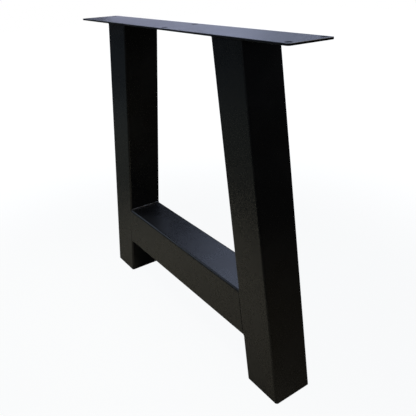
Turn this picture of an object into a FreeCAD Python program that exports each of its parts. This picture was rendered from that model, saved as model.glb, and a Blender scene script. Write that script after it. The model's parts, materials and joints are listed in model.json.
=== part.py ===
import FreeCAD, Part
import math
import os

import Sketcher

# Welded steel end frame for a table. X runs along the mounting plate, Y across it, Z up.
# The origin is on the floor under the middle of the mounting plate.

os.makedirs("parts", exist_ok=True)
doc = FreeCAD.newDocument("TrestleTableLeg")

# Driving dimensions in millimetres

DIMENSIONS = [
    ("overall_height", 710.0, "floor to the top of the mounting plate"),
    ("plate_length", 800.0, "mounting plate along X"),
    ("plate_width", 102.0, "mounting plate along Y"),
    ("plate_thickness", 4.0, "mounting plate"),
    ("plate_corner_radius", 6.0, "corners of the plate, seen from above"),
    ("plate_edge_chamfer", 0.5, "deburred edges of the plate"),
    ("hole_diameter", 7.0, "plain screw holes"),
    ("hole_end_inset", 13.0, "outer screw holes from the plate's ends"),
    ("hole_side_inset", 13.0, "screw holes from the plate's long edges"),
    ("frame_shift", 17.0, "middle of the legs from the middle of the plate"),
    ("top_spread", 530.0, "over the legs under the plate"),
    ("foot_spread", 710.0, "over the legs at the floor"),
    ("leg_side", 90.0, "outer side of the square leg tube, and depth of the cross beam"),
    ("leg_wall", 3.0, "wall of the leg tube"),
    ("leg_corner_radius", 5.0, "outer corners of the leg tube"),
    ("beam_height", 102.0, "outer height of the cross beam"),
    ("beam_wall", 3.0, "wall of the cross beam"),
    ("beam_corner_radius", 5.0, "outer corners of the cross beam"),
    ("beam_floor_gap", 100.0, "floor to the underside of the cross beam"),
    ("cap_thickness", 3.0, "plates that close the legs' lower ends"),
    ("plate_weld_leg", 3.0, "side of the fillet bead under the plate"),
    ("plate_weld_toe", 0.3, "thickness of that bead where it ends on the leg"),
    ("beam_weld_leg", 3.5, "side of the fillet beads on the cross beam"),
    ("beam_weld_crown", 0.5, "how far those beads swell past a flat face"),
    ("seam_depth", 0.5, "ground seam below the faces that it joins"),
    ("seam_root", 0.8, "unfilled root of the groove behind the seam"),
]

sheet = doc.addObject("Spreadsheet::Sheet", "Sizes")
for row, (alias, default, note) in enumerate(DIMENSIONS, start=1):
    sheet.set(f"A{row}", alias)
    sheet.set(f"B{row}", str(default))
    sheet.set(f"C{row}", note)
    sheet.setAlias(f"B{row}", alias)
doc.recompute()

# Lengths and angles that follow from the driving dimensions, as expressions

LEG_RISE = "(Sizes.overall_height - Sizes.plate_thickness)"
LEG_SLOPE = f"((Sizes.foot_spread - Sizes.top_spread) / 2 / {LEG_RISE})"
LEAN = f"atan({LEG_SLOPE})"
LEVEL_WIDTH = f"(Sizes.leg_side / cos({LEAN}))"
FOOT_CENTRE = f"((Sizes.foot_spread - {LEVEL_WIDTH}) / 2)"
HALF_SIDE = "(Sizes.leg_side / 2)"
HALF_PLATE = "(Sizes.plate_width / 2)"
BEAM_TOP = "(Sizes.beam_floor_gap + Sizes.beam_height)"
LEG_BORE_RADIUS = "max(Sizes.leg_corner_radius - Sizes.leg_wall; 0.5)"
BEAM_BORE_RADIUS = "max(Sizes.beam_corner_radius - Sizes.beam_wall; 0.5)"
FLAT_DEPTH = "(Sizes.leg_side - 2 * max(Sizes.leg_corner_radius; Sizes.beam_corner_radius))"

# Spare length of a tube past its cut ends, before the cuts are made

SPARE = "Sizes.leg_side"

# Lengths in mm, and volumes in mm3, below these count as nothing

NO_LENGTH = 1e-6
NO_VOLUME = 1e-3

SIDES = (("left", -1), ("right", 1))


def inner_face(height):
    """Distance from the middle between the legs to a leg's inner face, at a height."""
    return f"({FOOT_CENTRE} - {LEVEL_WIDTH} / 2 - ({height}) * {LEG_SLOPE})"


# Sketches and their dimensions


def attach(body, name, role):
    """A sketch on one of the body's own origin planes."""
    sketch = body.newObject("Sketcher::SketchObject", name)
    plane = next(item for item in body.Origin.OriginFeatures if item.Role == role)
    sketch.AttachmentSupport = [(plane, "")]
    sketch.MapMode = "FlatFace"
    return sketch


def value(sketch, expression):
    return float(sketch.evalExpression(expression))


def bind(sketch, kind, elements, expression):
    """A dimension that follows an expression."""
    constraint = Sketcher.Constraint(kind, *elements, value(sketch, expression))
    index = sketch.addConstraint(constraint)
    sketch.setExpression(f"Constraints[{index}]", expression)


def fix_point(sketch, geometry, point, across, up):
    """Ties a point to the sketch's origin, with each distance counted as positive."""
    for kind, axis, expression in (("DistanceX", -2, across), ("DistanceY", -1, up)):
        start = value(sketch, expression)
        if abs(start) < NO_LENGTH:
            sketch.addConstraint(Sketcher.Constraint("PointOnObject", geometry, point, axis))
        elif start > 0:
            bind(sketch, kind, (-1, 1, geometry, point), expression)
        else:
            bind(sketch, kind, (geometry, point, -1, 1), f"-({expression})")


def rounded_rectangle(sketch, half_width, half_height, radius, centre_up="0"):
    """Four corner arcs joined by tangent sides."""
    reach = value(sketch, f"{half_width} - {radius}")
    rise = value(sketch, f"{half_height} - {radius}")
    middle = value(sketch, centre_up)
    arcs = []
    for index, (right, up) in enumerate(((1, 1), (-1, 1), (-1, -1), (1, -1))):
        centre = FreeCAD.Vector(right * reach, middle + up * rise, 0)
        circle = Part.Circle(centre, FreeCAD.Vector(0, 0, 1), value(sketch, radius))
        turn = index * math.pi / 2
        arcs.append(sketch.addGeometry(Part.ArcOfCircle(circle, turn, turn + math.pi / 2)))
        across = f"{right} * ({half_width} - {radius})"
        level = f"{centre_up} + {up} * ({half_height} - {radius})"
        fix_point(sketch, arcs[index], 3, across, level)
        bind(sketch, "Radius", (arcs[index],), radius)
    for index, arc in enumerate(arcs):
        after = arcs[(index + 1) % 4]
        ends = (sketch.getPoint(arc, 2), sketch.getPoint(after, 1))
        side = sketch.addGeometry(Part.LineSegment(*ends))
        sketch.addConstraint(Sketcher.Constraint("Tangent", arc, 2, side, 1))
        sketch.addConstraint(Sketcher.Constraint("Tangent", side, 2, after, 1))


def polygon(sketch, points, open_end=False):
    """Straight sides through points given as pairs of expressions."""
    places = [FreeCAD.Vector(value(sketch, across), value(sketch, up), 0) for across, up in points]
    count = len(points)
    sides = []
    for index in range(count - 1 if open_end else count):
        ends = (places[index], places[(index + 1) % count])
        sides.append(sketch.addGeometry(Part.LineSegment(*ends)))
        fix_point(sketch, sides[-1], 1, *points[index])
    for index in range(len(sides) - 1):
        sketch.addConstraint(Sketcher.Constraint("Coincident", sides[index], 2, sides[index + 1], 1))
    if open_end:
        fix_point(sketch, sides[-1], 2, *points[-1])
    else:
        sketch.addConstraint(Sketcher.Constraint("Coincident", sides[-1], 2, sides[0], 1))
    return sides


def close_with_arc(sketch, sides, radius, bulge):
    """An arc from the end of the last side back to the start of the first, bulging by a vector."""
    first = sketch.getPoint(sides[-1], 2)
    last = sketch.getPoint(sides[0], 1)
    crown = (first + last) * 0.5 + bulge
    arc = sketch.addGeometry(Part.Arc(first, crown, last))
    start = sketch.getPoint(arc, 1)
    starts_first = start.distanceToPoint(first) < start.distanceToPoint(last)
    near, far = (1, 2) if starts_first else (2, 1)
    sketch.addConstraint(Sketcher.Constraint("Coincident", arc, near, sides[-1], 2))
    sketch.addConstraint(Sketcher.Constraint("Coincident", arc, far, sides[0], 1))
    bind(sketch, "Radius", (arc,), radius)


# Features


def pad(body, name, sketch, length, both_ways=False):
    feature = body.newObject("PartDesign::Pad", name)
    feature.Profile = sketch
    feature.SideType = "Symmetric" if both_ways else "One side"
    feature.setExpression("Length", length)
    sketch.Visibility = False
    return feature


def pocket(body, name, sketch, length=None):
    """Cuts up a sketch's normal by a length, or right through both ways."""
    before = body.Tip
    feature = body.newObject("PartDesign::Pocket", name)
    feature.Profile = sketch
    if length:
        feature.Reversed = True
        feature.setExpression("Length", length)
    else:
        feature.SideType = "Symmetric"
        feature.Type = "ThroughAll"
    doc.recompute()
    if feature.Shape.Volume > before.Shape.Volume - NO_VOLUME:
        raise RuntimeError(f"{body.Label}: {name} cuts nothing")
    return feature


def cross_leg_sketch(body, name, side, along):
    """A sketch square to a leg's axis, at a distance up the leg from the floor."""
    sketch = attach(body, name, "XY_Plane")
    turned = FreeCAD.Rotation(FreeCAD.Vector(0, 1, 0), 1)
    sketch.AttachmentOffset = FreeCAD.Placement(FreeCAD.Vector(), turned)
    reach = f"Sizes.frame_shift + {side} * ({FOOT_CENTRE} - ({along}) * sin({LEAN}))"
    sketch.setExpression("AttachmentOffset.Base.x", reach)
    sketch.setExpression("AttachmentOffset.Base.z", f"({along}) * cos({LEAN})")
    sketch.setExpression("AttachmentOffset.Rotation.Angle", f"{-side} * {LEAN}")
    return sketch


def leg_outline(sketch):
    rounded_rectangle(sketch, HALF_SIDE, HALF_SIDE, "Sizes.leg_corner_radius")


def leg_bore(sketch):
    half = f"({HALF_SIDE} - Sizes.leg_wall)"
    rounded_rectangle(sketch, half, half, LEG_BORE_RADIUS)


def cut_level(body, low, high):
    """Saws a leaning piece off level at two heights."""
    sketch = attach(body, body.Label + "_cut_outline", "XZ_Plane")
    reach = "Sizes.foot_spread"
    for near, far in ((low, f"({low}) - 2 * {SPARE}"), (high, f"({LEG_RISE}) + 2 * {SPARE}")):
        polygon(sketch, [(f"-({reach})", near), (reach, near), (reach, far), (f"-({reach})", far)])
    pocket(body, body.Label + "_cut", sketch)


def clear_leg(body, side):
    """Takes away whatever lies inside a leg's outer faces."""
    sketch = cross_leg_sketch(body, body.Label + "_leg_outline", side, f"-{SPARE}")
    leg_outline(sketch)
    pocket(body, body.Label + "_leg_room", sketch, f"{LEG_RISE} / cos({LEAN}) + 2 * {SPARE}")


# Mounting plate: flat bar with rounded corners, deburred, six plain screw holes


def mounting_plate(body):
    outline = attach(body, "plate_outline", "XY_Plane")
    outline.setExpression("AttachmentOffset.Base.z", LEG_RISE)
    rounded_rectangle(outline, "Sizes.plate_length / 2", HALF_PLATE, "Sizes.plate_corner_radius")
    bar = pad(body, "plate_bar", outline, "Sizes.plate_thickness")
    doc.recompute()

    rim = []
    for index, edge in enumerate(bar.Shape.Edges, start=1):
        if edge.BoundBox.ZLength < NO_LENGTH:
            rim.append(f"Edge{index}")
    deburr = body.newObject("PartDesign::Chamfer", "plate_deburr")
    deburr.Base = (bar, rim)
    deburr.setExpression("Size", "Sizes.plate_edge_chamfer")

    drilling = attach(body, "plate_drilling", "XY_Plane")
    drilling.setExpression("AttachmentOffset.Base.z", LEG_RISE)
    reach = "(Sizes.plate_length / 2 - Sizes.hole_end_inset)"
    row_offset = f"({HALF_PLATE} - Sizes.hole_side_inset)"
    for column in (f"-{reach}", "Sizes.frame_shift", reach):
        for row_sign in (-1, 1):
            level = f"{row_sign} * {row_offset}"
            centre = FreeCAD.Vector(value(drilling, column), value(drilling, level), 0)
            radius = value(drilling, "Sizes.hole_diameter / 2")
            hole = drilling.addGeometry(Part.Circle(centre, FreeCAD.Vector(0, 0, 1), radius))
            fix_point(drilling, hole, 3, column, level)
            bind(drilling, "Radius", (hole,), "Sizes.hole_diameter / 2")
    pocket(body, "plate_holes", drilling)


# Leg: square tube, sawn off level at the floor and under the plate


def leg(body, side):
    section = cross_leg_sketch(body, body.Label + "_section", side, f"-{SPARE}")
    leg_outline(section)
    leg_bore(section)
    pad(body, body.Label + "_tube", section, f"{LEG_RISE} / cos({LEAN}) + 2 * {SPARE}")
    cut_level(body, "0", LEG_RISE)


# Foot cap: plate that fills the leg's bore and lies flush with its lower end


def foot_cap(body, side):
    section = cross_leg_sketch(body, body.Label + "_section", side, f"-{SPARE}")
    leg_bore(section)
    pad(body, body.Label + "_blank", section, f"{LEG_RISE} / cos({LEAN}) + 2 * {SPARE}")
    cut_level(body, "0", "Sizes.cap_thickness")


# Cross beam: box tube as deep as the legs, ends cut to the slope of their inner faces


def cross_beam(body):
    section = attach(body, "beam_section", "YZ_Plane")
    section.setExpression("AttachmentOffset.Base.z", "Sizes.frame_shift")
    half_height = "(Sizes.beam_height / 2)"
    middle = f"(Sizes.beam_floor_gap + {half_height})"
    rounded_rectangle(section, HALF_SIDE, half_height, "Sizes.beam_corner_radius", middle)
    half_bore = f"({HALF_SIDE} - Sizes.beam_wall)"
    rounded_rectangle(section, half_bore, f"({half_height} - Sizes.beam_wall)", BEAM_BORE_RADIUS, middle)
    pad(body, "beam_tube", section, "Sizes.foot_spread", both_ways=True)

    ends = attach(body, "beam_end_cuts", "XZ_Plane")
    low = "(Sizes.beam_floor_gap - Sizes.beam_wall)"
    high = f"({BEAM_TOP} + Sizes.beam_wall)"
    for _, side in SIDES:
        far = f"Sizes.frame_shift + {side} * Sizes.foot_spread"
        cut = [(f"Sizes.frame_shift + {side} * {inner_face(level)}", level) for level in (low, high)]
        polygon(ends, cut + [(far, high), (far, low)])
    pocket(body, "beam_mitres", ends)


# Fillet bead round the top of a leg, under the plate


def plate_weld(body, side):
    loft = []
    toes = (("upper", "0", "Sizes.plate_weld_leg"),
            ("lower", "Sizes.plate_weld_leg", "Sizes.plate_weld_toe"))
    for name, drop, spread in toes:
        sketch = attach(body, f"{body.Label}_{name}", "XY_Plane")
        centre = f"({FOOT_CENTRE} - ({LEG_RISE} - {drop}) * {LEG_SLOPE})"
        sketch.setExpression("AttachmentOffset.Base.x", f"Sizes.frame_shift + {side} * {centre}")
        sketch.setExpression("AttachmentOffset.Base.z", f"{LEG_RISE} - {drop}")
        radius = f"(Sizes.leg_corner_radius + {spread})"
        rounded_rectangle(sketch, f"({LEVEL_WIDTH} / 2 + {spread})", f"({HALF_SIDE} + {spread})", radius)
        loft.append(sketch)
    bead = body.newObject("PartDesign::AdditiveLoft", body.Label + "_bead")
    bead.Profile = loft[0]
    bead.Sections = [loft[1]]
    bead.Ruled = True
    doc.recompute()
    clear_leg(body, side)


# Fillet bead in the corner between the cross beam's top or underside and a leg


def beam_weld(body, side, up):
    sketch = attach(body, body.Label + "_section", "XZ_Plane")
    level = BEAM_TOP if up > 0 else "Sizes.beam_floor_gap"
    root = f"Sizes.frame_shift + {side} * {inner_face(level)}"
    climb = f"({level} + {up} * Sizes.beam_weld_leg * cos({LEAN}))"
    on_leg = (f"Sizes.frame_shift + {side} * {inner_face(climb)}", climb)
    on_beam = (f"{root} - {side} * Sizes.beam_weld_leg", level)
    sides = polygon(sketch, [on_beam, (root, level), on_leg], open_end=True)
    chord_squared = f"(2 * Sizes.beam_weld_leg ^ 2 * (1 - {up} * sin({LEAN})))"
    crown = "Sizes.beam_weld_crown"
    radius = f"({chord_squared} / 4 + {crown} ^ 2) / (2 * {crown})"
    bulge = FreeCAD.Vector(-side, up, 0).normalize() * value(sketch, crown)
    close_with_arc(sketch, sides, radius, bulge)
    pad(body, body.Label + "_bead", sketch, FLAT_DEPTH, both_ways=True)


# Seam in the groove between the cross beam's end and a leg's rounded corner, ground down


def seam_weld(body, side, face):
    edge_radius = "Sizes.beam_corner_radius"
    start = f"((Sizes.beam_floor_gap + {edge_radius} + {HALF_SIDE} * sin({LEAN})) / cos({LEAN}))"
    sketch = cross_leg_sketch(body, body.Label + "_section", side, start)
    on_face = f"{-side} * {HALF_SIDE}"
    inward = f"{-side} * ({HALF_SIDE} - Sizes.leg_corner_radius)"
    outer = f"{face} * ({HALF_SIDE} - Sizes.seam_depth)"
    root = f"{face} * ({HALF_SIDE} - Sizes.leg_corner_radius + Sizes.seam_root)"
    polygon(sketch, [(on_face, outer), (inward, outer), (inward, root), (on_face, root)])
    pad(body, body.Label + "_fill", sketch, f"(Sizes.beam_height - 2 * {edge_radius}) / cos({LEAN})")
    doc.recompute()
    clear_leg(body, side)


# The whole frame, piece by piece


def make(name, build, *details):
    body = doc.addObject("PartDesign::Body", name)
    body.Label = name
    build(body, *details)
    doc.recompute()
    return body


pieces = [make("mounting_plate", mounting_plate)]
for name, side in SIDES:
    pieces.append(make(f"{name}_leg", leg, side))
    pieces.append(make(f"{name}_foot_cap", foot_cap, side))
pieces.append(make("cross_beam", cross_beam))
for name, side in SIDES:
    pieces.append(make(f"{name}_plate_weld", plate_weld, side))
    pieces.append(make(f"{name}_beam_top_weld", beam_weld, side, 1))
    pieces.append(make(f"{name}_beam_underside_weld", beam_weld, side, -1))
    pieces.append(make(f"{name}_front_seam_weld", seam_weld, side, -1))
    pieces.append(make(f"{name}_back_seam_weld", seam_weld, side, 1))

# Checks before anything is written

doc.recompute()
for item in doc.Objects:
    if "Invalid" in item.State or "Error" in item.State:
        raise RuntimeError(f"{item.Label} failed: {item.State}")
for piece in pieces:
    if piece.Shape.isNull() or not piece.Shape.isValid() or len(piece.Shape.Solids) != 1:
        raise RuntimeError(f"{piece.Label} is not one valid solid")

for piece in pieces:
    piece.Shape.exportStep(f"parts/{piece.Label}.step")
    box = piece.Shape.BoundBox
    along = f"X {box.XMin:.2f} {box.XMax:.2f}  Y {box.YMin:.2f} {box.YMax:.2f}"
    print(f"{piece.Label}: {piece.Shape.Volume:.1f} mm3  {along}  Z {box.ZMin:.2f} {box.ZMax:.2f}")
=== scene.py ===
import json
import math

import bmesh
import bpy
from mathutils import Matrix, Vector, noise

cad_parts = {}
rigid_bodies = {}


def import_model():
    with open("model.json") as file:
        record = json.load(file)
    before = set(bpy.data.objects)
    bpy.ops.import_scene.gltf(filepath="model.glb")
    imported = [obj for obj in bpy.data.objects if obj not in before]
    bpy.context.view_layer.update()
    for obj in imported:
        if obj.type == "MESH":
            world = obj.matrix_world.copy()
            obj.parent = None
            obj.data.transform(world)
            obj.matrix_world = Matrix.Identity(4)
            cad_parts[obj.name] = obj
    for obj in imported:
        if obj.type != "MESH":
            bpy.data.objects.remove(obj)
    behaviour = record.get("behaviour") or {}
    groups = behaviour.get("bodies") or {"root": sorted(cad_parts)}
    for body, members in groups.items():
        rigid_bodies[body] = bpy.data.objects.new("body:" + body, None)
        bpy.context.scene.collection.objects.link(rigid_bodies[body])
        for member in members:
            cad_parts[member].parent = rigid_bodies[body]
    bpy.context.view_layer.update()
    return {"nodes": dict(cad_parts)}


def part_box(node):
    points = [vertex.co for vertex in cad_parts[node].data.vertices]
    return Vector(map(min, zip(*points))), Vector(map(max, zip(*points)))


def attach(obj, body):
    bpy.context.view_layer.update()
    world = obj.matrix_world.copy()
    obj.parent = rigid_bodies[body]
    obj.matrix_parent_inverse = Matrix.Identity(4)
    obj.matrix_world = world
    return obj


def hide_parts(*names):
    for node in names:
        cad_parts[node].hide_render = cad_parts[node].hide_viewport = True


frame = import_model()

# Legs: two lengths of 90 mm square steel tube with 3 mm walls, sawn level at both ends so that
# they lean together under the plate. After welding the whole frame is powder coated black, a
# satin finish with a fine orange peel and a few nibs of caught dust.

COAT_DARK = (0.0040, 0.0042, 0.0046, 1)
COAT_LIGHT = (0.0110, 0.0112, 0.0114, 1)
COAT_RUBBED = (0.030, 0.031, 0.033, 1)
COAT_IOR = 1.5
PEEL_HEIGHT = 0.65
GRAIN_HEIGHT = 0.35
NIB_HEIGHT = 0.8
NIB_RADII = (0.012, 0.03)
BLOTCH_RANGE = (0.35, 0.68)
SPECKLE_RANGE = (0.36, 0.64)
FLECK_RANGE = (0.4, 0.7)
FLECK_STRENGTH = 0.6
BLOTCH_SHARE = 0.45
SPECKLE_SHARE = 0.55
RUB_COSINES = (0.995, 0.86)
RUB_PATCH_RANGE = (0.42, 0.66)
RUB_GLOSS = 0.08


def new_group(name, inputs, outputs):
    """An empty shader group with its sockets, and its input and output nodes."""
    tree = bpy.data.node_groups.new(name, "ShaderNodeTree")
    for label, kind, default in inputs:
        socket = tree.interface.new_socket(label, in_out="INPUT", socket_type=kind)
        socket.default_value = default
    for label, kind in outputs:
        tree.interface.new_socket(label, in_out="OUTPUT", socket_type=kind)
    return tree, tree.nodes.new("NodeGroupInput"), tree.nodes.new("NodeGroupOutput")


def add(tree, kind, links=(), **settings):
    """A node with its settings; links gives (input socket, source socket or value) pairs."""
    node = tree.nodes.new(kind)
    for key, setting in settings.items():
        setattr(node, key, setting)
    for socket, source in links:
        if isinstance(source, bpy.types.NodeSocket):
            tree.links.new(source, node.inputs[socket])
        else:
            node.inputs[socket].default_value = source
    return node


def maths(tree, operation, first, second=0.0):
    return add(tree, "ShaderNodeMath", ((0, first), (1, second)), operation=operation).outputs[0]


def ramp(tree, source, low, high, out_low=0.0, out_high=1.0):
    """Maps a range of values smoothly onto another."""
    links = (("Value", source), ("From Min", low), ("From Max", high),
             ("To Min", out_low), ("To Max", out_high))
    return add(tree, "ShaderNodeMapRange", links, interpolation_type="SMOOTHSTEP").outputs["Result"]


def mix_colour(tree, factor, first, second):
    """The Mix node takes its two colours at inputs 6 and 7, and gives the mixed one at output 2."""
    links = ((0, factor), (6, first), (7, second))
    return add(tree, "ShaderNodeMix", links, data_type="RGBA").outputs[2]


def noise_at(tree, vector, size, detail, distortion=0.0):
    """Cloudy noise whose features are about one size across, in metres."""
    scale = maths(tree, "DIVIDE", 1.0, size)
    links = (("Vector", vector), ("Scale", scale), ("Detail", detail), ("Distortion", distortion))
    return add(tree, "ShaderNodeTexNoise", links).outputs["Fac"]


def make_coat_skin():
    """Powder coat: orange peel, fine grain, dust nibs and cloudy sheen."""
    tree, given, out = new_group(
        "powder_coat_skin",
        (("Peel Size", "NodeSocketFloat", 0.0034), ("Grain Size", "NodeSocketFloat", 0.0007),
         ("Cloud Size", "NodeSocketFloat", 0.09), ("Nib Spacing", "NodeSocketFloat", 0.03),
         ("Dark Colour", "NodeSocketColor", COAT_DARK), ("Light Colour", "NodeSocketColor", COAT_LIGHT),
         ("Low Roughness", "NodeSocketFloat", 0.25), ("High Roughness", "NodeSocketFloat", 0.34)),
        (("Colour", "NodeSocketColor"), ("Roughness", "NodeSocketFloat"), ("Height", "NodeSocketFloat")))
    place = add(tree, "ShaderNodeTexCoord").outputs["Object"]
    peel = noise_at(tree, place, given.outputs["Peel Size"], detail=2.0, distortion=0.3)
    grain = noise_at(tree, place, given.outputs["Grain Size"], detail=1.0)
    cloud = noise_at(tree, place, given.outputs["Cloud Size"], detail=4.0, distortion=0.4)
    nib_scale = maths(tree, "DIVIDE", 1.0, given.outputs["Nib Spacing"])
    cells = add(tree, "ShaderNodeTexVoronoi", (("Vector", place), ("Scale", nib_scale)))
    nib = ramp(tree, cells.outputs["Distance"], *NIB_RADII, 1.0, 0.0)

    peel_height = maths(tree, "MULTIPLY", peel, PEEL_HEIGHT)
    grain_height = maths(tree, "MULTIPLY", grain, GRAIN_HEIGHT)
    nib_height = maths(tree, "MULTIPLY", nib, NIB_HEIGHT)
    height = maths(tree, "ADD", maths(tree, "ADD", peel_height, grain_height), nib_height)

    blotch = ramp(tree, cloud, *BLOTCH_RANGE)
    speckle = ramp(tree, peel, *SPECKLE_RANGE)
    fleck = maths(tree, "MULTIPLY", ramp(tree, grain, *FLECK_RANGE, 0.0, FLECK_STRENGTH), speckle)
    colour = mix_colour(tree, blotch, given.outputs["Dark Colour"], given.outputs["Light Colour"])
    colour = mix_colour(tree, fleck, colour, given.outputs["Light Colour"])

    cloudy = maths(tree, "MULTIPLY", blotch, BLOTCH_SHARE)
    speckled = maths(tree, "MULTIPLY", speckle, SPECKLE_SHARE)
    spread = maths(tree, "SUBTRACT", given.outputs["High Roughness"], given.outputs["Low Roughness"])
    rougher = maths(tree, "MULTIPLY", maths(tree, "ADD", cloudy, speckled), spread)
    rough = maths(tree, "ADD", given.outputs["Low Roughness"], rougher)

    tree.links.new(colour, out.inputs["Colour"])
    tree.links.new(rough, out.inputs["Roughness"])
    tree.links.new(height, out.inputs["Height"])
    return tree


def make_edge_rub():
    """Where hands and other frames have rubbed the outer edges a little."""
    tree, given, out = new_group(
        "edge_rub",
        (("Width", "NodeSocketFloat", 0.0012), ("Patch Size", "NodeSocketFloat", 0.014),
         ("Amount", "NodeSocketFloat", 0.5)),
        (("Mask", "NodeSocketFloat"),))
    place = add(tree, "ShaderNodeTexCoord").outputs["Object"]
    soft = add(tree, "ShaderNodeBevel", (("Radius", given.outputs["Width"]),), samples=6)
    sharp = add(tree, "ShaderNodeNewGeometry")
    normals = ((0, soft.outputs["Normal"]), (1, sharp.outputs["True Normal"]))
    facing = add(tree, "ShaderNodeVectorMath", normals, operation="DOT_PRODUCT")
    edge = ramp(tree, facing.outputs["Value"], *RUB_COSINES)
    patch = ramp(tree, noise_at(tree, place, given.outputs["Patch Size"], detail=3.0), *RUB_PATCH_RANGE)
    mask = maths(tree, "MULTIPLY", maths(tree, "MULTIPLY", edge, patch), given.outputs["Amount"])
    tree.links.new(mask, out.inputs["Mask"])
    return tree


coat_skin = make_coat_skin()
edge_rub = make_edge_rub()


def coat_material(name, bump=0.0001, rub=0.5, **values):
    """Satin black powder coat; values go to the group's sockets, with underscores for spaces."""
    material = bpy.data.materials.new(name)
    material.use_nodes = True
    tree = material.node_tree
    shader = tree.nodes["Principled BSDF"]
    skin = add(tree, "ShaderNodeGroup", node_tree=coat_skin)
    for key, setting in values.items():
        skin.inputs[key.replace("_", " ")].default_value = setting
    rubbed = add(tree, "ShaderNodeGroup", (("Amount", rub),), node_tree=edge_rub).outputs["Mask"]
    colour = mix_colour(tree, rubbed, skin.outputs["Colour"], COAT_RUBBED)
    gloss = maths(tree, "MULTIPLY", rubbed, RUB_GLOSS)
    rough = maths(tree, "SUBTRACT", skin.outputs["Roughness"], gloss)
    relief = (("Height", skin.outputs["Height"]), ("Distance", bump), ("Strength", 1.0))
    bumped = add(tree, "ShaderNodeBump", relief).outputs["Normal"]
    tree.links.new(colour, shader.inputs["Base Color"])
    tree.links.new(rough, shader.inputs["Roughness"])
    tree.links.new(bumped, shader.inputs["Normal"])
    shader.inputs["IOR"].default_value = COAT_IOR
    return material


def dress(node, material):
    for slot in frame["nodes"][node].material_slots:
        slot.material = material


leg_coat = coat_material("leg_powder_coat")
for side in ("left", "right"):
    dress(f"{side}_leg", leg_coat)

# Foot caps: 3 mm steel plates set into the lower ends of the legs, welded and ground flush, so
# that each foot stands on its full face. They get the same coat, scuffed where they stand.

foot_coat = coat_material("foot_powder_coat", bump=0.00008, rub=0.9, Low_Roughness=0.38,
                          High_Roughness=0.5)
for side in ("left", "right"):
    dress(f"{side}_foot_cap", foot_coat)

# Cross beam: a box tube as deep as the legs and a little taller, its ends cut to the slope of
# the legs' inner faces and butted against them. The same coat in the same batch.

beam_coat = coat_material("beam_powder_coat", Cloud_Size=0.07)
dress("cross_beam", beam_coat)

# Beam welds: a fillet bead across the beam's top and one under it, at each leg. They are run in
# one pass, carried a little way round the rounded corners of the tubes, and coated over.

SIDES = (("left", -1), ("right", 1))
SAME_LEVEL = 1e-5
TUBE_RADIUS = 0.005
BEAD_LEG = 0.0035
BEAD_CROWN = 0.0006
BEAD_CUTS = 10
BEAD_STEP = 0.0003
BEAD_SINK = 0.0001
BEAD_OVERRUN = 0.004
BEAD_TAPER = 0.003
BEAD_END_SIZE = 0.3
SKIN_FROM = 0.5
RIPPLE_PITCH = 0.0017
RIPPLE_HEIGHT = 0.00028
RIPPLE_BOW = 0.0011
UNEVEN_SIZE = 0.009
UNEVEN_HEIGHT = 0.0005
BEAM_SEED = 3
SHARP_DEGREES = 40
# The weld coat's colours are lighter and warmer than the frame's coat: a painted highlight along the
# beads, and on the ground seams too.
WELD_DARK_WITH_GLINT = (0.010, 0.0095, 0.0093, 1)
WELD_LIGHT_WITH_GLINT = (0.040, 0.037, 0.035, 1)


def level_span(node, height):
    """Least and greatest X of a CAD node's corners at one height."""
    corners = [vertex.co for vertex in frame["nodes"][node].data.vertices]
    reach = [corner.x for corner in corners if abs(corner.z - height) < SAME_LEVEL]
    return min(reach), max(reach)


leg_low, leg_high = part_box("right_leg")
beam_low, beam_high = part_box("cross_beam")
MIDDLE = (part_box("left_leg")[0].x + leg_high.x) / 2
HALF_SIDE = leg_high.y
LEG_TOP = leg_high.z
FOOT_SPAN = level_span("right_leg", leg_low.z)
INNER_FOOT = FOOT_SPAN[0] - MIDDLE
LEVEL_WIDTH = FOOT_SPAN[1] - FOOT_SPAN[0]
LEG_SLOPE = (FOOT_SPAN[0] - level_span("right_leg", LEG_TOP)[0]) / LEG_TOP
LEAN = math.atan(LEG_SLOPE)


def inner_face(height):
    """Distance from the middle between the legs to a leg's inner face, at a height."""
    return INNER_FOOT - height * LEG_SLOPE


def corner_recess(beyond):
    """How far a rounded corner falls back, at a distance beyond the end of its flat face."""
    beyond = min(max(beyond, 0), TUBE_RADIUS)
    return TUBE_RADIUS - math.sqrt(TUBE_RADIUS ** 2 - beyond ** 2)


def ripple(travel, across):
    """Height of a bead's scales, bowed back from the middle, at a place from -1 to 1 across it."""
    beat = abs(math.sin(math.pi * (travel + RIPPLE_BOW * across * across) / RIPPLE_PITCH))
    return RIPPLE_HEIGHT * math.sqrt(beat) * (1 - across * across)


def unevenness(travel, across, seed):
    """How far a bead swells or sinks, because no hand feeds the wire quite evenly."""
    place = Vector((travel / UNEVEN_SIZE, across, seed))
    return UNEVEN_HEIGHT * noise.noise(place) * (1 - across * across)


def finish_piece(bm, name, material, node):
    """Closes a new piece, shades it, and puts it in place of its CAD solid."""
    bmesh.ops.recalc_face_normals(bm, faces=bm.faces[:])
    if bm.calc_volume(signed=True) < 0:
        bmesh.ops.reverse_faces(bm, faces=bm.faces[:])
    mesh = bpy.data.meshes.new(name)
    bm.to_mesh(mesh)
    bm.free()
    mesh.shade_smooth()
    mesh.set_sharp_from_angle(angle=math.radians(SHARP_DEGREES))
    mesh.materials.append(material)
    piece = bpy.data.objects.new(name, mesh)
    bpy.context.scene.collection.objects.link(piece)
    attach(piece, "root")
    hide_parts(node)


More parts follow.
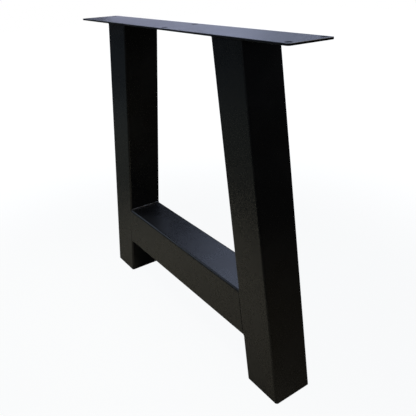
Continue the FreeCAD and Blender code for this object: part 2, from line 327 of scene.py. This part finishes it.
def beam_bead(side, up):
    """One straight bead: its section is swept along Y, then each point is moved to its place.

    The section is drawn round the bead's root with a radius of 1, which tells its skin apart.
    """
    apex = math.pi / 2 - up * LEAN
    seed = BEAM_SEED * side + up
    half_run = HALF_SIDE - TUBE_RADIUS + BEAD_OVERRUN
    steps = round(2 * half_run / BEAD_STEP)
    bm = bmesh.new()
    section = [bm.verts.new((0, -half_run, 0))]
    for cut in range(BEAD_CUTS + 1):
        turn = apex * cut / BEAD_CUTS
        section.append(bm.verts.new((math.cos(turn), -half_run, math.sin(turn))))
    edges = [bm.edges.new((section[index - 1], corner)) for index, corner in enumerate(section)]
    bmesh.ops.spin(bm, geom=section + edges, cent=(0, 0, 0), axis=(0, 1, 0),
                   dvec=(0, 2 * half_run / steps, 0), angle=0, steps=steps)
    bmesh.ops.holes_fill(bm, edges=bm.edges[:], sides=0)
    height = beam_high.z if up > 0 else beam_low.z
    for vertex in bm.verts:
        travel = vertex.co.y
        recess = corner_recess(abs(travel) - HALF_SIDE + TUBE_RADIUS)
        end = min(max((half_run - abs(travel)) / BEAD_TAPER, 0), 1)
        size = BEAD_END_SIZE + (1 - BEAD_END_SIZE) * math.sqrt(1 - (1 - end) ** 2)
        arm = math.hypot(vertex.co.x, vertex.co.z)
        if arm > SKIN_FROM:
            turn = math.atan2(vertex.co.z, vertex.co.x)
            across = 2 * turn / apex - 1
            arm = BEAD_LEG * math.cos(apex / 2) / math.cos(turn - apex / 2)
            crown = BEAD_CROWN * (1 - across * across)
            arm += crown + ripple(travel, across) + unevenness(travel, across, seed)
            arm *= size
        else:
            turn = 0
        level = height + up * (arm * math.sin(turn) - recess - BEAD_SINK)
        reach = inner_face(height) + recess + BEAD_SINK - arm * math.cos(turn)
        vertex.co = (MIDDLE + side * reach, travel, level)
    return bm


# This coat's lighter, warmer colours paint a highlight on the beads and seams.
weld_coat = coat_material("weld_coat_painted_glint", bump=0.00005, rub=0.2, Peel_Size=0.0014, Low_Roughness=0.24,
                          High_Roughness=0.32, Dark_Colour=WELD_DARK_WITH_GLINT, Light_Colour=WELD_LIGHT_WITH_GLINT)
for name, side in SIDES:
    for place, up in (("top", 1), ("underside", -1)):
        bead = beam_bead(side, up)
        finish_piece(bead, f"{name}_beam_{place}_bead", weld_coat, f"{name}_beam_{place}_weld")

# Seams: the groove between the beam's end and each leg's rounded corner, filled with weld and
# ground back with a disc before coating. The disc left some of it flush and some a little low.

SEAM_OVERLAP = 0.0003
SEAM_CELLS = (8, 120)
SEAM_REACH = 0.0038
SEAM_ROOT = 0.0042
SEAM_RIPPLE = 0.5
GROUND_SHALLOW = 0.00004
GROUND_DEEP = 0.0006
GROUND_LOW = 0.8
FLUSH_FROM = 0.55
FLUSH_RUN = 0.2
WANDER = 0.12
WANDER_WAVES = 7


def ground_depth(side, face, rise):
    """How far a seam lies below the faces beside it, at a place from 0 to 1 up its length."""
    wander = WANDER * noise.noise(Vector((rise * WANDER_WAVES, side, 2 * face)))
    if side < 0 and face < 0:
        low = min(max((FLUSH_FROM - rise + wander) / FLUSH_RUN, 0), 1)
    else:
        low = GROUND_LOW + wander
    return GROUND_SHALLOW + (GROUND_DEEP - GROUND_SHALLOW) * low


def seam_strip(side, face):
    """The seam's outer skin as a grid, its points moved to their places, then a wall inwards."""
    bm = bmesh.new()
    cells_across, cells_along = SEAM_CELLS
    bmesh.ops.create_grid(bm, x_segments=cells_across, y_segments=cells_along, size=0.5)
    low = beam_low.z + TUBE_RADIUS - SEAM_REACH
    high = beam_high.z - TUBE_RADIUS + SEAM_REACH
    for vertex in bm.verts:
        across = vertex.co.x + 0.5
        rise = vertex.co.y + 0.5
        level = low + (high - low) * rise
        beyond = max(level - beam_high.z, beam_low.z - level) + TUBE_RADIUS
        depth = ground_depth(side, face, rise) + corner_recess(beyond)
        depth += SEAM_RIPPLE * (RIPPLE_HEIGHT - ripple(level, 2 * across - 1))
        reach = inner_face(level) - SEAM_OVERLAP + (TUBE_RADIUS + 2 * SEAM_OVERLAP) * across
        vertex.co = (MIDDLE + side * reach, face * (HALF_SIDE - depth), level)
    wall = bmesh.ops.extrude_face_region(bm, geom=bm.faces[:])["geom"]
    deep = [item for item in wall if isinstance(item, bmesh.types.BMVert)]
    bmesh.ops.translate(bm, verts=deep, vec=(0, -face * SEAM_ROOT, 0))
    return bm


for name, side in SIDES:
    for place, face in (("front", -1), ("back", 1)):
        strip = seam_strip(side, face)
        finish_piece(strip, f"{name}_{place}_seam", weld_coat, f"{name}_{place}_seam_weld")

# Mounting plate: 4 mm flat bar, its corners and edges dressed with a file, laid on the legs and
# welded from below. The screw holes are drilled plain; round each of them the coat is rougher and its
# reflection is taken away, a painted shade that darkens the rims.

HOLE_INSET = 0.013
RIM_START = 0.005
RIM_END = 0.0085
RIM_ROUGHER = 0.3
PLAIN_SPECULAR = 0.5

plate_coat = coat_material("plate_powder_coat", bump=0.00009, rub=0.7, Cloud_Size=0.16,
                           Low_Roughness=0.295, High_Roughness=0.325)


def paint_hole_rim_shade(material):
    """Makes the coat rougher in a narrow ring round each screw hole, and paints shade there by taking its
    reflection away.
    """
    tree = material.node_tree
    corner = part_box("mounting_plate")[1]
    place = add(tree, "ShaderNodeTexCoord").outputs["Object"]
    axes = add(tree, "ShaderNodeSeparateXYZ", (("Vector", place),)).outputs
    from_end = maths(tree, "SUBTRACT", maths(tree, "ABSOLUTE", axes["X"]), corner.x - HOLE_INSET)
    from_end = maths(tree, "ABSOLUTE", from_end)
    from_middle = maths(tree, "ABSOLUTE", maths(tree, "SUBTRACT", axes["X"], MIDDLE))
    along = maths(tree, "MINIMUM", from_end, from_middle)
    across = maths(tree, "SUBTRACT", maths(tree, "ABSOLUTE", axes["Y"]), corner.y - HOLE_INSET)
    offset = add(tree, "ShaderNodeCombineXYZ", (("X", along), ("Y", across))).outputs["Vector"]
    away = add(tree, "ShaderNodeVectorMath", ((0, offset),), operation="LENGTH").outputs["Value"]
    rougher = ramp(tree, away, RIM_START, RIM_END, RIM_ROUGHER, 0.0)
    # Painted shade: no reflection at the rim, the plain amount beyond it.
    specular = ramp(tree, away, RIM_START, RIM_END, 0.0, PLAIN_SPECULAR)
    shader = tree.nodes["Principled BSDF"]
    rough = shader.inputs["Roughness"]
    tree.links.new(maths(tree, "ADD", rough.links[0].from_socket, rougher), rough)
    tree.links.new(specular, shader.inputs["Specular IOR Level"])


paint_hole_rim_shade(plate_coat)
dress("mounting_plate", plate_coat)

# Plate welds: a fillet bead all round the top of each leg, on the underside of the plate. It
# starts and stops at the middle of the leg's back face, where its scales close on each other.
# The powder reaches this corner thinly, so the coat in it is rough, and its reflection is cut low as a
# painted shade under the plate's edge.

RING_LEG = 0.002
RING_CROWN = -0.0003
RING_CUTS = 7
RING_ARC_CUTS = 26
RING_RIPPLE = 0.5
RING_SEED = 9
DIAGONAL = math.sqrt(0.5)
SAME_POINT = 1e-7
PAINTED_SHADE_SPECULAR = 0.15


def ring_bead(side):
    """A bead round a leg: the tube's outline is drawn once and extruded across the bead."""
    bm = bmesh.new()
    bmesh.ops.create_grid(bm, x_segments=1, y_segments=1, size=1)
    bmesh.ops.scale(bm, verts=bm.verts[:], vec=(LEVEL_WIDTH / 2, HALF_SIDE, 1))
    bmesh.ops.bevel(bm, geom=bm.verts[:], offset=TUBE_RADIUS, affect="VERTICES",
                    segments=RING_ARC_CUTS, profile=0.5, material=-1)
    straight = [edge for edge in bm.edges if edge.calc_length() > 2 * TUBE_RADIUS]
    cuts = round(straight[0].calc_length() / BEAD_STEP)
    bmesh.ops.subdivide_edges(bm, edges=straight, cuts=cuts)
    bmesh.ops.delete(bm, geom=bm.faces[:], context="FACES_ONLY")

    outline = bm.verts.layers.float_vector.new("outline")
    bm.verts.ensure_lookup_table()
    start = max(bm.verts, key=lambda vertex: (vertex.co.y, -abs(vertex.co.x)))
    vertex = start
    edge = start.link_edges[0]
    length = 0.0
    while True:
        vertex[outline] = (vertex.co.x, vertex.co.y, length)
        length += edge.calc_length()
        vertex = edge.other_vert(vertex)
        if vertex == start:
            break
        edge = next(item for item in vertex.link_edges if item != edge)
    pitch = length / round(length / RIPPLE_PITCH)

    def shape(verts, spread, drop, across):
        """Moves a copy of the outline to its line along the bead."""
        for vertex in verts:
            x, y, travel = vertex[outline]
            core = Vector((max(min(x, LEVEL_WIDTH / 2 - TUBE_RADIUS), TUBE_RADIUS - LEVEL_WIDTH / 2),
                           max(min(y, HALF_SIDE - TUBE_RADIUS), TUBE_RADIUS - HALF_SIDE)))
            out = (Vector((x, y)) - core).normalized()
            swell = (RING_CROWN + RIPPLE_HEIGHT * RING_RIPPLE) * (1 - across * across)
            swell += ripple(travel * RIPPLE_PITCH / pitch, across)
            swell += unevenness(travel, across, RING_SEED * side)
            place = core + out * (TUBE_RADIUS + spread + swell * DIAGONAL)
            low = drop + swell * DIAGONAL
            lean = side * LEG_SLOPE * low
            centre = MIDDLE + side * (inner_face(LEG_TOP) + LEVEL_WIDTH / 2)
            vertex.co = (centre + lean + place.x, place.y, LEG_TOP - low)

    # From the line on the leg to the line on the plate, then back inside the leg's wall.
    lines = [(RING_LEG * cut / RING_CUTS, RING_LEG * (1 - cut / RING_CUTS), 2 * cut / RING_CUTS - 1)
             for cut in range(RING_CUTS + 1)]
    edges = bm.edges[:]
    shape(bm.verts, *lines[0])
    for line in lines[1:] + [(-BEAD_SINK, 0, 1), lines[0]]:
        grown = bmesh.ops.extrude_edge_only(bm, edges=edges)["geom"]
        verts = {item for item in grown if isinstance(item, bmesh.types.BMVert)}
        edges = [item for item in grown
                 if isinstance(item, bmesh.types.BMEdge) and verts.issuperset(item.verts)]
        shape(verts, *line)
    bmesh.ops.remove_doubles(bm, verts=bm.verts[:], dist=SAME_POINT)
    return bm


thin_coat_painted_shade = coat_material("thin_coat_with_painted_shade", bump=0.00008, rub=0.0, Peel_Size=0.0014,
                          Low_Roughness=0.6, High_Roughness=0.75)
# Its reflection is cut low: painted shade where the plate's edge shadows the bead.
thin_coat_painted_shade.node_tree.nodes["Principled BSDF"].inputs["Specular IOR Level"].default_value = PAINTED_SHADE_SPECULAR
for name, side in SIDES:
    finish_piece(ring_bead(side), f"{name}_plate_bead", thin_coat_painted_shade, f"{name}_plate_weld")

# Floor: a wide sheet of pale paper. It looks nearly white to the camera, and white further off,
# and it keeps the frame's soft shadow. It lies a hair lower than the feet, so that no two faces
# coincide.

FLOOR_REACH = 8.0
FLOOR_DROP = 0.0002
FLOOR_COLOUR = (0.66, 0.63, 0.52, 1)
FLOOR_WHITE = 0.91
WHITE_RADII = (0.5, 1.5)
PAPER_COLOUR = (0.98, 0.99, 1, 1)
PAPER_GLOW = 1.05

bm = bmesh.new()
bmesh.ops.create_grid(bm, x_segments=1, y_segments=1, size=FLOOR_REACH)
bmesh.ops.translate(bm, verts=bm.verts[:], vec=(0, 0, -FLOOR_DROP))
floor_mesh = bpy.data.meshes.new("floor")
bm.to_mesh(floor_mesh)
bm.free()
floor = bpy.data.objects.new("floor", floor_mesh)
bpy.context.scene.collection.objects.link(floor)
floor_paper = bpy.data.materials.new("floor_paper")
floor_paper.use_nodes = True
tree = floor_paper.node_tree
tree.nodes.remove(tree.nodes["Principled BSDF"])
matt = add(tree, "ShaderNodeBsdfDiffuse", (("Color", FLOOR_COLOUR),))
white = add(tree, "ShaderNodeEmission", (("Color", PAPER_COLOUR), ("Strength", PAPER_GLOW)))
place = add(tree, "ShaderNodeTexCoord").outputs["Object"]
reach = add(tree, "ShaderNodeVectorMath", ((0, place),), operation="LENGTH").outputs["Value"]
far = ramp(tree, reach, *WHITE_RADII, FLOOR_WHITE, 1.0)
seen = add(tree, "ShaderNodeLightPath").outputs["Is Camera Ray"]
share = maths(tree, "MULTIPLY", seen, far)
blend = add(tree, "ShaderNodeMixShader", ((0, share), (1, matt.outputs[0]), (2, white.outputs[0])))
tree.links.new(blend.outputs[0], tree.nodes["Material Output"].inputs["Surface"])
floor_mesh.materials.append(floor_paper)

# Studio: a dim room that the camera sees as white. A cool window stands behind on the left, with
# softer lamps beside it, above and in front, and low strips far behind give the plate alone its
# sheen. All of them are flagged off the floor, which three narrower lamps light with the frame.

ROOM_COLOUR = (0.78, 0.84, 1.0, 1)
ROOM_STRENGTH = 0.045
BACKDROP_COLOUR = (1, 1, 1, 1)
FRAME_MIDDLE = (0, 0, 0.35)
WINDOW_COLOUR = (0.62, 0.72, 1.0)
HORIZON_COLOUR = (0.69, 0.73, 1.0)
HORIZON_AIM = (0, 0, 0.66)
HORIZON_ELEVATION = 4
HORIZON_DISTANCE = 8.0
HORIZON_HEIGHT = 1.07
HORIZON_LEFT = 157
HORIZON_RIGHT_ENDS = (140, 138.5, 137)
HORIZON_RADIANCE = 0.36

scene = bpy.context.scene
scene.view_settings.view_transform = "Standard"
world = bpy.data.worlds.new("studio")
scene.world = world
world.use_nodes = True
tree = world.node_tree
tree.nodes.remove(tree.nodes["Background"])
room = add(tree, "ShaderNodeBackground", (("Color", ROOM_COLOUR), ("Strength", ROOM_STRENGTH)))
backdrop = add(tree, "ShaderNodeBackground", (("Color", BACKDROP_COLOUR), ("Strength", 1.0)))
seen = add(tree, "ShaderNodeLightPath").outputs["Is Camera Ray"]
blend = add(tree, "ShaderNodeMixShader", ((0, seen), (1, room.outputs[0]), (2, backdrop.outputs[0])))
tree.links.new(blend.outputs[0], tree.nodes["World Output"].inputs["Surface"])

lit_frame = bpy.data.collections.new("lit_frame")
lit_plate = bpy.data.collections.new("lit_plate")
lit_plate.objects.link(frame["nodes"]["mounting_plate"])
for piece in bpy.data.objects:
    if piece.type == "MESH" and piece != floor:
        lit_frame.objects.link(piece)


def soft_lamp(name, azimuth, elevation, distance, width, height, radiance, colour,
              aim=FRAME_MIDDLE, spread=180, lit=lit_frame):
    """A soft rectangular lamp, placed by its direction from the point that it is aimed at.

    It lights the collection lit alone, or everything where that is None.
    """
    azimuth = math.radians(azimuth)
    elevation = math.radians(elevation)
    toward = Vector((math.cos(elevation) * math.cos(azimuth),
                     math.cos(elevation) * math.sin(azimuth),
                     math.sin(elevation)))
    lamp = bpy.data.lights.new(name, "AREA")
    lamp.shape = "RECTANGLE"
    lamp.size = width
    lamp.size_y = height
    lamp.energy = math.pi * width * height * radiance
    lamp.color = colour
    lamp.spread = math.radians(spread)
    rig = bpy.data.objects.new(name, lamp)
    rig.location = Vector(aim) + distance * toward
    rig.rotation_mode = "QUATERNION"
    rig.rotation_quaternion = (-toward).to_track_quat("-Z", "Y")
    rig.visible_camera = False
    scene.collection.objects.link(rig)
    if lit:
        rig.light_linking.receiver_collection = lit


def horizon_lamp(name, azimuth, width, radiance=HORIZON_RADIANCE):
    """A low strip that the plate's top mirrors to the camera at a grazing angle."""
    soft_lamp(name, azimuth, HORIZON_ELEVATION, HORIZON_DISTANCE, width, HORIZON_HEIGHT, radiance,
              HORIZON_COLOUR, aim=HORIZON_AIM, lit=lit_plate)


soft_lamp("back_left_window", azimuth=123, elevation=46, distance=2.2, width=1.6, height=1.6,
          radiance=1.65, colour=WINDOW_COLOUR)
horizon_lamp("horizon_strip", azimuth=143, width=5.0, radiance=0.85)
for right_end in HORIZON_RIGHT_ENDS:
    half_angle = math.radians(HORIZON_LEFT - right_end) / 2
    horizon_lamp(f"horizon_to_{right_end}", azimuth=(HORIZON_LEFT + right_end) / 2,
                 width=2 * HORIZON_DISTANCE * math.tan(half_angle))
horizon_lamp("horizon_left", azimuth=151.5, width=1.5)
soft_lamp("left_lamp", azimuth=168, elevation=44, distance=2.2, width=1.3, height=1.0,
          radiance=0.8, colour=WINDOW_COLOUR)
soft_lamp("overhead_lamp", azimuth=90, elevation=85, distance=2.0, width=1.2, height=1.2,
          radiance=3.0, colour=(0.58, 0.74, 1.0))
soft_lamp("back_lamp", azimuth=60, elevation=51, distance=2.2, width=1.1, height=0.8,
          radiance=2.3, colour=(1.0, 0.93, 0.92))
soft_lamp("front_left_reflector", azimuth=208, elevation=30, distance=2.5, width=1.8, height=1.2,
          radiance=0.9, colour=(0.68, 0.81, 1.0), aim=(0, 0, 0.2))
soft_lamp("front_left_card", azimuth=214, elevation=-6, distance=1.7, width=2.0, height=0.5,
          radiance=0.04, colour=(0.45, 0.7, 1.0), aim=(0, 0, 0.45))
soft_lamp("front_fill", azimuth=275, elevation=8, distance=2.5, width=1.6, height=1.2,
          radiance=0.15, colour=(0.8, 0.9, 1.0))
soft_lamp("back_fill", azimuth=95, elevation=8, distance=2.5, width=1.6, height=1.2,
          radiance=0.1, colour=(0.95, 0.97, 1.0))
soft_lamp("floor_lamp", azimuth=270, elevation=89, distance=1.0, width=1.1, height=0.3,
          radiance=0.67, colour=(1.0, 0.97, 0.92), aim=(-0.02, -0.3, 0), spread=50, lit=None)
soft_lamp("far_floor_lamp", azimuth=270, elevation=89, distance=2.0, width=0.8, height=0.8,
          radiance=0.92, colour=(0.8, 0.93, 1.0), aim=(-1.2, -1.0, 0), spread=80, lit=None)
soft_lamp("right_floor_lamp", azimuth=270, elevation=89, distance=1.2, width=0.3, height=0.3,
          radiance=0.58, colour=(1.0, 0.85, 0.62), aim=(0.8, 0.1, 0), spread=60, lit=None)

# Camera: a little above the plate and beside its near end, looking along the frame. Its axis
# meets the picture above the middle, so the lens is shifted.

CAMERA_PLACE = Vector((0.957283, -0.581637, 0.813380))
CAMERA_YAW = 0.973170
CAMERA_PITCH = -0.332408
CAMERA_ROLL = -0.042371
FOCAL_PIXELS = 509.0865
CENTRE_ROW = 148.697
FRAME_PIXELS = 416

forward = Vector((-math.sin(CAMERA_YAW) * math.cos(CAMERA_PITCH),
                  math.cos(CAMERA_YAW) * math.cos(CAMERA_PITCH),
                  math.sin(CAMERA_PITCH)))
level = Vector((math.cos(CAMERA_YAW), math.sin(CAMERA_YAW), 0))
upright = level.cross(forward)
right = math.cos(CAMERA_ROLL) * level + math.sin(CAMERA_ROLL) * upright
up = -math.sin(CAMERA_ROLL) * level + math.cos(CAMERA_ROLL) * upright
lens = bpy.data.cameras.new("camera")
lens.sensor_width = 36
lens.lens = FOCAL_PIXELS / FRAME_PIXELS * lens.sensor_width
lens.shift_y = (CENTRE_ROW - FRAME_PIXELS / 2) / FRAME_PIXELS
lens.clip_start = 0.01
lens.clip_end = 100
camera = bpy.data.objects.new("camera", lens)
turn = Matrix((right, up, -forward)).transposed().to_4x4()
camera.matrix_world = Matrix.Translation(CAMERA_PLACE) @ turn
scene.collection.objects.link(camera)
scene.camera = camera
